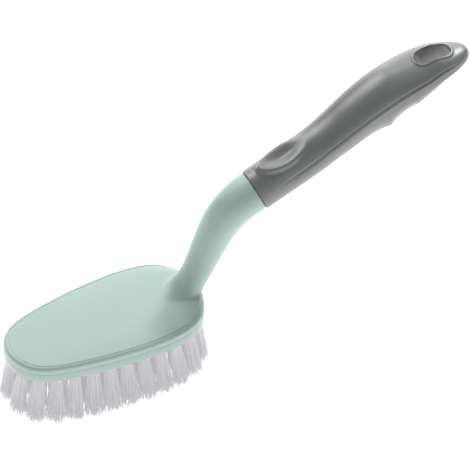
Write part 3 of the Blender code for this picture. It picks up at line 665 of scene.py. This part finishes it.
def thumb_relief(along, across):
    """The thumb rest: a raised oval hollowed out to leave a lip, which fades over the oval's rear half.

    The hollow is a power of one less the square of the oval reach.
    """
    reach = np.hypot((along - THUMB_CENTRE) / THUMB_HALF_LENGTH, across / THUMB_HALF_WIDTH)
    fade = 1.0 - smoothstep(THUMB_CENTRE, THUMB_CENTRE + THUMB_HALF_LENGTH, along)
    lip = THUMB_LIP * fade
    raised = lip * (1.0 - smoothstep(*LIP_OUTER_SHARES, reach))
    hollow = np.clip(1.0 - (reach / DISH_EDGE_SHARE) ** 2, 0.0, 1.0) ** DISH_POWER
    return raised - (lip + THUMB_DISH) * hollow


def slot_bead(along, across):
    """The bead round the slot: a bell curve over the distance from the slot's round-cornered plan."""
    past_end = np.abs(along - SLOT_CENTRE) - (SLOT_LENGTH / 2 - SLOT_CORNER)
    past_side = np.abs(across) - (SLOT_WIDTH / 2 - SLOT_CORNER)
    outside = np.hypot(np.maximum(past_end, 0.0), np.maximum(past_side, 0.0))
    distance = outside + np.minimum(np.maximum(past_end, past_side), 0.0) - SLOT_CORNER
    return BEAD_HEIGHT * np.exp(-(((distance - BEAD_OFFSET) / BEAD_WIDTH) ** 2))


def crease_drop(along, angle):
    """The side creases: each a short smooth step in and a longer run back out, the lower on the rear half."""
    fade_out = 1.0 - smoothstep(*(GRIP_LENGTH * share for share in CREASE_FADE_OUT_SHARES), along)
    drop = 0.0
    for start, end, shares in (
        (CREASE_ANGLE, LOWER_CREASE_ANGLE, CREASE_FADE_IN_SHARES),
        (LOWER_CREASE_ANGLE, CREASE_END_ANGLE, LOWER_FADE_IN_SHARES),
    ):
        fade_in = smoothstep(*(GRIP_LENGTH * share for share in shares), along)
        step = smoothstep(start, start + CREASE_STEP_ANGLE, angle)
        run_out = 1.0 - smoothstep(start + CREASE_STEP_ANGLE, end, angle)
        drop = drop + CREASE_DEPTH * fade_in * fade_out * step * run_out
    return drop


def half_angles():
    """Angles from the grip's top round one side to its bottom, closest together at the two creases."""
    above, across, below = HALF_RING_COUNTS
    dense = np.linspace(CREASE_ANGLE - CREASE_MARGINS[0], LOWER_CREASE_ANGLE + CREASE_MARGINS[1], across)
    before = np.linspace(0.0, dense[0], above, endpoint=False)
    after = np.linspace(dense[-1], math.pi, below)[1:]
    return np.concatenate([before, dense, after])


def both_sides(along, across, up):
    """Whole rings from half ones: the second half is the first mirrored, in reverse order."""
    across = np.concatenate([across, -across[:, -2:0:-1]], axis=1)
    up = np.concatenate([up, up[:, -2:0:-1]], axis=1)
    return np.stack([np.broadcast_to(along, across.shape), across, up], axis=-1)


def top_roundness(along):
    """The power of the domed top's oval: an ellipse's along most of the grip, a little more by the slot."""
    return TOP_ROUNDNESS + (SLOT_ROUNDNESS - TOP_ROUNDNESS) * smoothstep(*SLOT_FLATTENING, along)


def end_scale(along):
    """What the grip's section shrinks to: a rounded curve of the share of the way to its rear end."""
    tip = np.clip((along / GRIP_LENGTH - END_ROUND_START_SHARE) / (1.0 - END_ROUND_START_SHARE), 0.0, 1.0)
    return (1.0 - tip**END_ROUNDNESS) ** (1.0 / END_ROUNDNESS)


def grip_grid(along):
    """The grip's outer skin: half an oval above the shoulder and half another below it, with its reliefs.

    Across is the half width times a power of the sine, and up the height times a power of the cosine. Each
    point then moves along the section's normal by the thumb rest's and the bead's height less the creases'
    depth. The rear end closes in on the section's middle.
    """
    along = along[:, None]
    angles = half_angles()[None, :]
    half_width, top, shoulder, bottom = grip_sizes(along)
    drop = scallop_drop(along)
    bottom = bottom - drop
    roundness = KEEL_ROUNDNESS + CREST_FULLNESS_SHARE * drop / FIRST_CREST_DROP
    upper = angles <= math.pi / 2
    sine = np.abs(np.sin(angles))
    cosine = np.abs(np.cos(angles))
    power = np.where(upper, 2.0 / top_roundness(along), 2.0 / roundness)
    height = np.where(upper, top - shoulder, bottom - shoulder)
    across = half_width * sine**power
    up = shoulder + height * cosine**power
    out_across = across / half_width**2
    out_up = (up - shoulder) / height**2
    length = np.hypot(out_across, out_up)
    raised = thumb_relief(along, across) + slot_bead(along, across)
    relief = np.where(upper, raised, 0.0) - crease_drop(along, angles)
    across = across + out_across / length * relief
    up = up + out_up / length * relief
    scale = end_scale(along)
    middle = (top + bottom) / 2
    across[:, 0] = 0.0
    across[:, -1] = 0.0
    return both_sides(along, across * scale, middle + (up - middle) * scale)


def grip_surface_height(along, across, above):
    """Height of the plain outer skin over a plan point: the shoulder plus a root of one less a power."""
    half_width, top, shoulder, bottom = grip_sizes(along)
    power = top_roundness(along) if above else KEEL_ROUNDNESS
    root = np.clip(1.0 - np.abs(across / half_width) ** power, 0.0, 1.0) ** (1.0 / power)
    reach = top if above else bottom - scallop_drop(along)
    middle = (top + bottom - scallop_drop(along)) / 2
    return middle + (shoulder + (reach - shoulder) * root - middle) * end_scale(along)


def oval_rings(along, half_width, top, bottom):
    """Plain ovals of the grip's hollow, with their points at the outer skin's angles."""
    angles = np.broadcast_to(half_angles(), (len(along), len(half_angles())))
    across = half_width * np.sin(angles)
    across[:, -1] = 0.0
    up = (top + bottom) / 2 + (top - bottom) / 2 * np.cos(angles)
    return both_sides(along, across, up)


def hollow_grid():
    """The hollow from its closed end to the socket's mouth: the grip's sizes less a wall, then the socket."""
    socket_width = TANG_HALF_WIDTH + FIT_GAP
    socket_height = TANG_HALF_HEIGHT + FIT_GAP
    socket_end = TANG_LENGTH + FIT_GAP
    along = np.linspace(HOLLOW_END, socket_end + GRIP_WALL, HOLLOW_STEPS)[:, None]
    half_width, top, _, bottom = grip_sizes(along)
    wall = GRIP_WALL + THUMB_DISH * (1.0 - smoothstep(socket_end, SCALLOP_START, along))
    floor = bottom + GRIP_WALL + np.maximum(0.0, -scallop_drop(along))
    rings = oval_rings(along, half_width - wall - CREASE_DEPTH, top - wall, floor)
    centre = rings[0].mean(axis=0)
    end = centre + (rings[0] - centre) * HOLLOW_END_TAPER_SHARE + (GRIP_WALL, 0.0, 0.0)
    mouths = np.array([[socket_end], [COLLAR_LINE]])
    return np.concatenate([end[None], rings, oval_rings(mouths, socket_width, socket_height, -socket_height)])


def slot_outline(grow):
    """The hanging slot's plan: four quarter circles joined by straight sides, grown by as much all round."""
    half_length = SLOT_LENGTH / 2 - SLOT_CORNER
    half_width = SLOT_WIDTH / 2 - SLOT_CORNER
    sides = np.array([(1, 1), (-1, 1), (-1, -1), (1, -1)])
    quarter = np.repeat(np.arange(4), SLOT_CORNER_STEPS)
    angle = np.tile(np.linspace(0.0, math.pi / 2, SLOT_CORNER_STEPS), 4) + quarter * math.pi / 2
    reach = SLOT_CORNER + grow
    x = sides[quarter, 0] * half_length + reach * np.cos(angle)
    y = sides[quarter, 1] * half_width + reach * np.sin(angle)
    return SLOT_CENTRE + x, y


def slot_cutter():
    """The slot's cutter: straight walls that flare by a quarter circle to two mouths that follow the skin."""
    rings = []
    turns = np.radians(np.linspace(0.0, 90.0, SLOT_RIM_STEPS))
    for above, sign in ((False, -1.0), (True, 1.0)):
        mouth = []
        for turn in turns:
            along, across = slot_outline(SLOT_RIM * (1.0 - math.cos(turn)))
            depth = SLOT_RIM * (math.sin(turn) - 1.0) + SLOT_RIM_LIFT
            skin = grip_surface_height(along, across, above)
            if above:
                skin = skin + slot_bead(along, across)
            mouth.append(np.column_stack([along, across, skin + sign * depth]))
        mouth.append(mouth[-1] + (0.0, 0.0, sign * OVERRUN))
        rings += mouth if above else mouth[::-1]
    return ring_skin("slot_cutter", rings)


def grip_skin():
    """The whole grip: hollow, mouth edge and outer skin in one closed body, and the slot cut through it."""
    stations = [np.linspace(*run) for run in OUTER_STATIONS]
    turns = np.linspace(0.0, math.pi / 2 * REAR_TURN_SHARE, REAR_STEPS)
    stations.append(GRIP_LENGTH - (GRIP_LENGTH - REAR_START) * np.cos(turns) ** REAR_STEP_POWER)
    outer = grip_grid(np.concatenate(stations))
    first = outer[0] - (outer[0, 0, 0], 0.0, 0.0)
    edges = []
    for turn in np.radians(COLLAR_EDGE_DEGREES[:0:-1]):
        shrink = COLLAR_EDGE * (1.0 - math.cos(turn))
        size = (0.0, 1.0 - shrink / COLLAR_HALF_WIDTH, 1.0 - shrink / COLLAR_HALF_HEIGHT)
        edges.append(first * size + (COLLAR_LINE + COLLAR_EDGE * (1.0 - math.sin(turn)), 0.0, 0.0))
    mesh = ring_skin("grip_skin", np.concatenate([hollow_grid(), np.array(edges), outer]))
    whole = bpy.data.objects.new("grip_whole", mesh)
    cutter = bpy.data.objects.new("slot_cutter", slot_cutter())
    for thing in (whole, cutter):
        bpy.context.scene.collection.objects.link(thing)
    cut = whole.modifiers.new("hanging slot", "BOOLEAN")
    cut.operation = "DIFFERENCE"
    cut.object = cutter
    cut.solver = "MANIFOLD"
    graph = bpy.context.evaluated_depsgraph_get()
    finished = bpy.data.meshes.new_from_object(whole.evaluated_get(graph))
    for thing in (whole, cutter):
        bpy.data.objects.remove(thing, do_unlink=True)
    finished.name = "grip_skin"
    finished.materials.clear()
    finished.transform(GRIP_PLACE)
    finished.shade_smooth()
    finished.set_sharp_from_angle(angle=GRIP_SHARP_ANGLE)
    return finished


def filament_faces():
    """The faces of all of a tuft's filaments: four walls between their rings and a square cap on each end."""
    wall = wall_quads(FILAMENT_STEPS, FILAMENT_SIDES)
    sides = np.arange(FILAMENT_SIDES)
    last = (FILAMENT_STEPS - 1) * FILAMENT_SIDES
    faces = np.concatenate([wall[:, ::-1], [sides, (last + sides)[::-1]]])
    first_points = np.arange(FILAMENTS) * FILAMENT_STEPS * FILAMENT_SIDES
    return (faces[None] + first_points[:, None, None]).reshape(-1, 4)


def tuft_mesh(name, spot, outward, lean, random):
    """A tuft's filaments: each is a thin square bar swept along a bent line from its hole to a ragged tip.

    Roots lie on a sunflower spiral in the hole. A filament's line is its root plus the tuft's direction times
    the run, plus its own sideways share, which grows with a power of the run, plus a bend, a parabola that is
    nought at both ends. Tips at the corners of the head's front splay further out.
    """
    ahead, beside, back = tuft_axes(outward, lean)
    order = np.arange(FILAMENTS) + 0.5
    radius_share = np.sqrt(order / FILAMENTS)
    turn = order * GOLDEN_TURN + random.uniform(0.0, 2.0 * math.pi)
    ring = np.column_stack([np.cos(turn), np.sin(turn)]) * radius_share[:, None]
    root = ring * (FILAMENT_ROOM - FILAMENT_RADIUS)
    tip = ring * TIP_ROOM + random.normal(0.0, TIP_SCATTER, (FILAMENTS, 2))
    tip[:, 0] += TIP_SPLAY * max(0.0, -outward[0]) * abs(outward[1])
    bend = random.normal(0.0, BEND_SCATTER, (FILAMENTS, 2))
    length = (UNDERSIDE_Z - TIP_RAGGED * random.beta(*TIP_WEAR_SHAPE, FILAMENTS)) / back[2]
    share = np.linspace(0.0, 1.0, FILAMENT_STEPS)[None, :, None]
    bow = bend[:, None] * share * (share - 1.0) * EVEN_HUMP
    side = root[:, None] + (tip - root)[:, None] * share**FAN_POWER + bow
    run = FILAMENT_ROOT_DEPTH - (length[:, None] + FILAMENT_ROOT_DEPTH) * share[..., 0]
    centre = side[..., :1] * ahead + side[..., 1:] * beside + run[..., None] * back
    centre = centre + (*spot, UNDERSIDE_Z)
    corner = np.linspace(0.0, 2.0 * math.pi, FILAMENT_SIDES, endpoint=False)
    spin = random.uniform(0.0, math.pi, (FILAMENTS, 1))
    wide = FILAMENT_RADIUS * random.uniform(*FILAMENT_RADIUS_SHARES, (FILAMENTS, 1))
    out = np.stack([np.cos(corner + spin) * wide, np.sin(corner + spin) * wide], axis=-1)
    around = out[..., :1] * ahead + out[..., 1:] * beside
    points = centre[:, :, None] + around[:, None]
    points[..., 2] = np.maximum(points[..., 2], 0.0)
    points = points.reshape(-1, 3) + HEAD_PLACE
    faces, _ = turned_out(points - points.mean(axis=0), filament_faces(), [])
    mesh = bpy.data.meshes.new(name)
    mesh.from_pydata(points.tolist(), [], faces.tolist())
    mesh.shade_smooth()
    return mesh


def new_group(name, inputs, outputs):
    """An empty shader node group with named sockets: each input has its starting value."""
    group = bpy.data.node_groups.new(name, "ShaderNodeTree")
    for label, kind, value in inputs:
        socket = group.interface.new_socket(label, in_out="INPUT", socket_type=kind)
        socket.default_value = value
    for label, kind in outputs:
        group.interface.new_socket(label, in_out="OUTPUT", socket_type=kind)
    return group, group.nodes.new("NodeGroupInput"), group.nodes.new("NodeGroupOutput")


def feed(tree, value, socket):
    """Gives an input socket a number, or a link from another node's socket."""
    if isinstance(value, bpy.types.NodeSocket):
        tree.links.new(value, socket)
    else:
        socket.default_value = value


def math_node(tree, operation, first, second):
    """A Math node of the given operation, whose inputs are sockets or numbers."""
    node = tree.nodes.new("ShaderNodeMath")
    node.operation = operation
    feed(tree, first, node.inputs[0])
    feed(tree, second, node.inputs[1])
    return node.outputs[0]


def map_range(tree, value, start=(0.0, 1.0), end=(0.0, 1.0), interpolation="LINEAR"):
    """A Map Range node that takes the value from one pair of limits to another."""
    node = tree.nodes.new("ShaderNodeMapRange")
    node.interpolation_type = interpolation
    tree.links.new(value, node.inputs["Value"])
    labels = ("From Min", "From Max", "To Min", "To Max")
    for label, limit in zip(labels, (*start, *end)):
        node.inputs[label].default_value = limit
    return node.outputs[0]


def noise(tree, place, scale, detail, roughness):
    """A Noise Texture of the given scale, detail and roughness at a place."""
    node = tree.nodes.new("ShaderNodeTexNoise")
    tree.links.new(place, node.inputs["Vector"])
    feed(tree, scale, node.inputs["Scale"])
    node.inputs["Detail"].default_value = detail
    node.inputs["Roughness"].default_value = roughness
    return node.outputs["Fac"]


def line_noise(tree, place, stretch, turn):
    """A noise whose spots are drawn out into lines, by turning the place and stretching it unevenly."""
    node = tree.nodes.new("ShaderNodeMapping")
    node.inputs["Rotation"].default_value = turn
    node.inputs["Scale"].default_value = stretch
    tree.links.new(place, node.inputs["Vector"])
    return noise(tree, node.outputs[0], 1.0, LINE_DETAIL, PLAIN_NOISE_ROUGHNESS)


def lightened(tree, colour, level):
    """The colour times a level, which makes it lighter over one and darker under it."""
    node = tree.nodes.new("ShaderNodeHueSaturation")
    tree.links.new(level, node.inputs["Value"])
    tree.links.new(colour, node.inputs["Color"])
    return node.outputs["Color"]


def moulded_skin_group():
    """Moulded plastic: a slow drift in colour, mottling in gloss, a fine eroded grain and a few light scuffs.

    Colour is the base made a little lighter or darker by a slow noise, and paler along scuff lines. Roughness
    is the base plus the mottling and the scuffs. Height is the fine grain less the scuffs, for a Bump node.
    """
    colour = "NodeSocketColor"
    number = "NodeSocketFloat"
    group, start, end = new_group(
        "moulded_skin",
        (
            ("Colour", colour, (0.5, 0.5, 0.5, 1.0)),
            ("Scuff colour", colour, (0.8, 0.8, 0.8, 1.0)),
            ("Drift", number, 0.04),
            ("Roughness", number, 0.35),
            ("Mottle", number, 0.08),
            ("Grain scale", number, 2500.0),
            ("Scuffs", number, 0.2),
        ),
        (("Colour", colour), ("Roughness", number), ("Height", number)),
    )
    given = start.outputs
    place = group.nodes.new("ShaderNodeTexCoord").outputs["Object"]
    grain = noise(group, place, given["Grain scale"], GRAIN_DETAIL, PLAIN_NOISE_ROUGHNESS)
    lines = map_range(group, line_noise(group, place, SCUFF_STRETCH, SCUFF_TURN), SCUFF_LIMITS)
    # Scuffs show in patches only, and the smooth minimum rounds off the upper end of the patches' noise
    patches = math_node(group, "SMOOTH_MIN", noise(group, place, *PATCH_NOISE), 1.0)
    scuff = math_node(group, "MULTIPLY", lines, map_range(group, patches, PATCH_LIMITS))
    scuff = math_node(group, "MULTIPLY", scuff, given["Scuffs"])
    slow = math_node(group, "SUBTRACT", noise(group, place, *DRIFT_NOISE), NOISE_MEAN)
    drift = math_node(group, "MULTIPLY", slow, given["Drift"])
    base = lightened(group, given["Colour"], math_node(group, "ADD", drift, 1.0))
    blend = group.nodes.new("ShaderNodeMix")
    blend.data_type = "RGBA"
    group.links.new(scuff, blend.inputs["Factor"])
    group.links.new(base, blend.inputs["A"])
    group.links.new(given["Scuff colour"], blend.inputs["B"])
    group.links.new(blend.outputs["Result"], end.inputs["Colour"])
    mottle = math_node(group, "SUBTRACT", noise(group, place, *MOTTLE_NOISE), NOISE_MEAN)
    uneven = math_node(group, "MULTIPLY", mottle, given["Mottle"])
    rough = math_node(group, "ADD", math_node(group, "ADD", uneven, given["Roughness"]), scuff)
    group.links.new(rough, end.inputs["Roughness"])
    group.links.new(math_node(group, "SUBTRACT", grain, scuff), end.inputs["Height"])
    return group


def shader_material(name, values):
    """A material whose Principled shader has the given constants set on its own sockets."""
    material = bpy.data.materials.new(name)
    material.use_nodes = True
    shader = material.node_tree.nodes["Principled BSDF"]
    for label, value in values.items():
        shader.inputs[label].default_value = value
    return material, shader


def moulded_material(name, group, settings, values, bump):
    """A moulded plastic: the shared skin feeds colour and roughness, and its height feeds a Bump node."""
    material, shader = shader_material(name, values)
    nodes, links = material.node_tree.nodes, material.node_tree.links
    skin = nodes.new("ShaderNodeGroup")
    skin.node_tree = group
    for label, value in settings.items():
        skin.inputs[label].default_value = value
    raised = nodes.new("ShaderNodeBump")
    raised.inputs["Strength"].default_value = bump[0]
    raised.inputs["Distance"].default_value = bump[1]
    links.new(skin.outputs["Colour"], shader.inputs["Base Color"])
    links.new(skin.outputs["Roughness"], shader.inputs["Roughness"])
    links.new(skin.outputs["Height"], raised.inputs["Height"])
    links.new(raised.outputs["Normal"], shader.inputs["Normal"])
    return material


def nylon_material():
    """Nylon filament: milky white, faintly lilac, greyer towards the tips, with streaks along the length."""
    material, shader = shader_material("nylon_filament", NYLON_LOOK_AND_PAINTED_GLOW)
    tree = material.node_tree
    place = tree.nodes.new("ShaderNodeTexCoord").outputs["Object"]
    split = tree.nodes.new("ShaderNodeSeparateXYZ")
    tree.links.new(place, split.inputs[0])
    ramp = tree.nodes.new("ShaderNodeValToRGB")
    tip, root = ramp.color_ramp.elements
    tip.color = NYLON_TIP_COLOUR
    root.color = NYLON_ROOT_COLOUR
    root.position = NYLON_ROOT_SHARE
    tree.links.new(map_range(tree, split.outputs["Z"], (0.0, BRISTLE_LENGTH)), ramp.inputs["Fac"])
    streak = line_noise(tree, place, STREAK_STRETCH, (0.0, 0.0, 0.0))
    level = map_range(tree, streak, end=STREAK_LEVELS)
    tree.links.new(lightened(tree, ramp.outputs["Color"], level), shader.inputs["Base Color"])
    return material


def make_brush():
    """Every visible piece of the brush, each in place of its own node."""
    group = moulded_skin_group()
    mint = moulded_material("mint_moulding_skin", group, MINT_LOOK, MINT_GLOSS, MINT_BUMP)
    block = moulded_material("mint_block_skin", group, SHADED_BLOCK_LOOK, MINT_GLOSS, MINT_BUMP)
    grey = moulded_material("grey_grip_skin", group, GREY_LOOK, GREY_GLOSS, GREY_BUMP)
    nylon = nylon_material()
    cover = ring_skin("head_and_neck_skin", np.array(cover_rings() + neck_rings()) + HEAD_PLACE)
    add_piece("head_and_neck_skin", cover, mint, ["head_and_neck"])
    places = tuft_places()
    lower = block_skin(places)
    lower.transform(Matrix.Translation(HEAD_PLACE.tolist()))
    lower.shade_smooth()
    lower.set_sharp_from_angle(angle=SHARP_ANGLE)
    add_piece("tuft_block_skin", lower, block, ["tuft_block"])
    add_piece("grip_skin", grip_skin(), grey, ["grip"])
    random = np.random.default_rng(TUFT_SEED)
    for ring, number, side, spot, outward, lean in places:
        node = f"tuft_{ring}_{side}_{number:02d}"
        mesh = tuft_mesh(f"filaments_{ring}_{side}_{number:02d}", spot, outward, lean, random)
        add_piece(mesh.name, mesh, nylon, [node])


def make_floor():
    """A plain pale floor under the bristle tips."""
    half = FLOOR_HALF_SIDE
    corners = [(-half, -half, 0.0), (half, -half, 0.0), (half, half, 0.0), (-half, half, 0.0)]
    mesh = bpy.data.meshes.new("floor")
    mesh.from_pydata(corners, [], [(0, 1, 2, 3)])
    material, _ = shader_material("pale_floor", FLOOR_LOOK)
    mesh.materials.append(material)
    floor = bpy.data.objects.new("floor", mesh)
    bpy.context.scene.collection.objects.link(floor)


def make_light():
    """A dim white sky with five soft lobes, the strongest low behind the brush, and three soft boxes."""
    world = bpy.data.worlds.new("studio")
    bpy.context.scene.world = world
    world.use_nodes = True
    tree = world.node_tree
    direction = tree.nodes.new("ShaderNodeTexCoord").outputs["Generated"]
    strength = SKY_LEVEL
    for towards, low, high, gain in SKY_LOBES:
        facing = tree.nodes.new("ShaderNodeVectorMath")
        facing.operation = "DOT_PRODUCT"
        facing.inputs[1].default_value = Vector(towards).normalized()
        tree.links.new(direction, facing.inputs[0])
        lobe = map_range(tree, facing.outputs["Value"], (low, high), (0.0, gain), "SMOOTHSTEP")
        strength = math_node(tree, "ADD", lobe, strength)
    sky = tree.nodes["Background"]
    sky.inputs["Color"].default_value = (1.0, 1.0, 1.0, 1.0)
    tree.links.new(strength, sky.inputs["Strength"])
    for name, place, aim, side, watts in SOFT_BOXES:
        lamp = bpy.data.lights.new(name, "AREA")
        lamp.shape = "SQUARE"
        lamp.size = side
        lamp.energy = watts
        thing = bpy.data.objects.new(name, lamp)
        turn = (Vector(aim) - Vector(place)).to_track_quat("-Z", "Y").to_matrix().to_4x4()
        thing.matrix_world = Matrix.Translation(place) @ turn
        bpy.context.scene.collection.objects.link(thing)


def make_camera():
    """A camera far off, turned and raised as the photograph's, with the head's centre at its pixel there."""
    right = Vector((math.cos(CAMERA_TURN), -math.sin(CAMERA_TURN), 0.0))
    level = Vector((math.sin(CAMERA_TURN), math.cos(CAMERA_TURN), 0.0))
    up = level * math.sin(CAMERA_HEIGHT) + Vector((0.0, 0.0, math.cos(CAMERA_HEIGHT)))
    back = right.cross(up)
    along = (PHOTO_SIDE / 2 - HEAD_CENTRE_PIXEL[0]) / PIXELS_PER_METRE
    above = (HEAD_CENTRE_PIXEL[1] - PHOTO_SIDE / 2) / PIXELS_PER_METRE
    aim = Vector((HEAD_X, 0.0, TOP_Z)) + right * along + up * above
    lens = bpy.data.cameras.new("camera")
    lens.sensor_width = SENSOR_WIDTH
    lens.lens = SENSOR_WIDTH * CAMERA_DISTANCE * PIXELS_PER_METRE / PHOTO_SIDE
    lens.clip_end = CAMERA_CLIP_END
    camera = bpy.data.objects.new("camera", lens)
    turn = Matrix((right, up, back)).transposed().to_4x4()
    camera.matrix_world = Matrix.Translation(aim + back * CAMERA_DISTANCE) @ turn
    bpy.context.scene.collection.objects.link(camera)
    bpy.context.scene.camera = camera


make_brush()
make_floor()
make_light()
make_camera()
bpy.context.scene.view_settings.view_transform = "Standard"
bpy.context.view_layer.update()
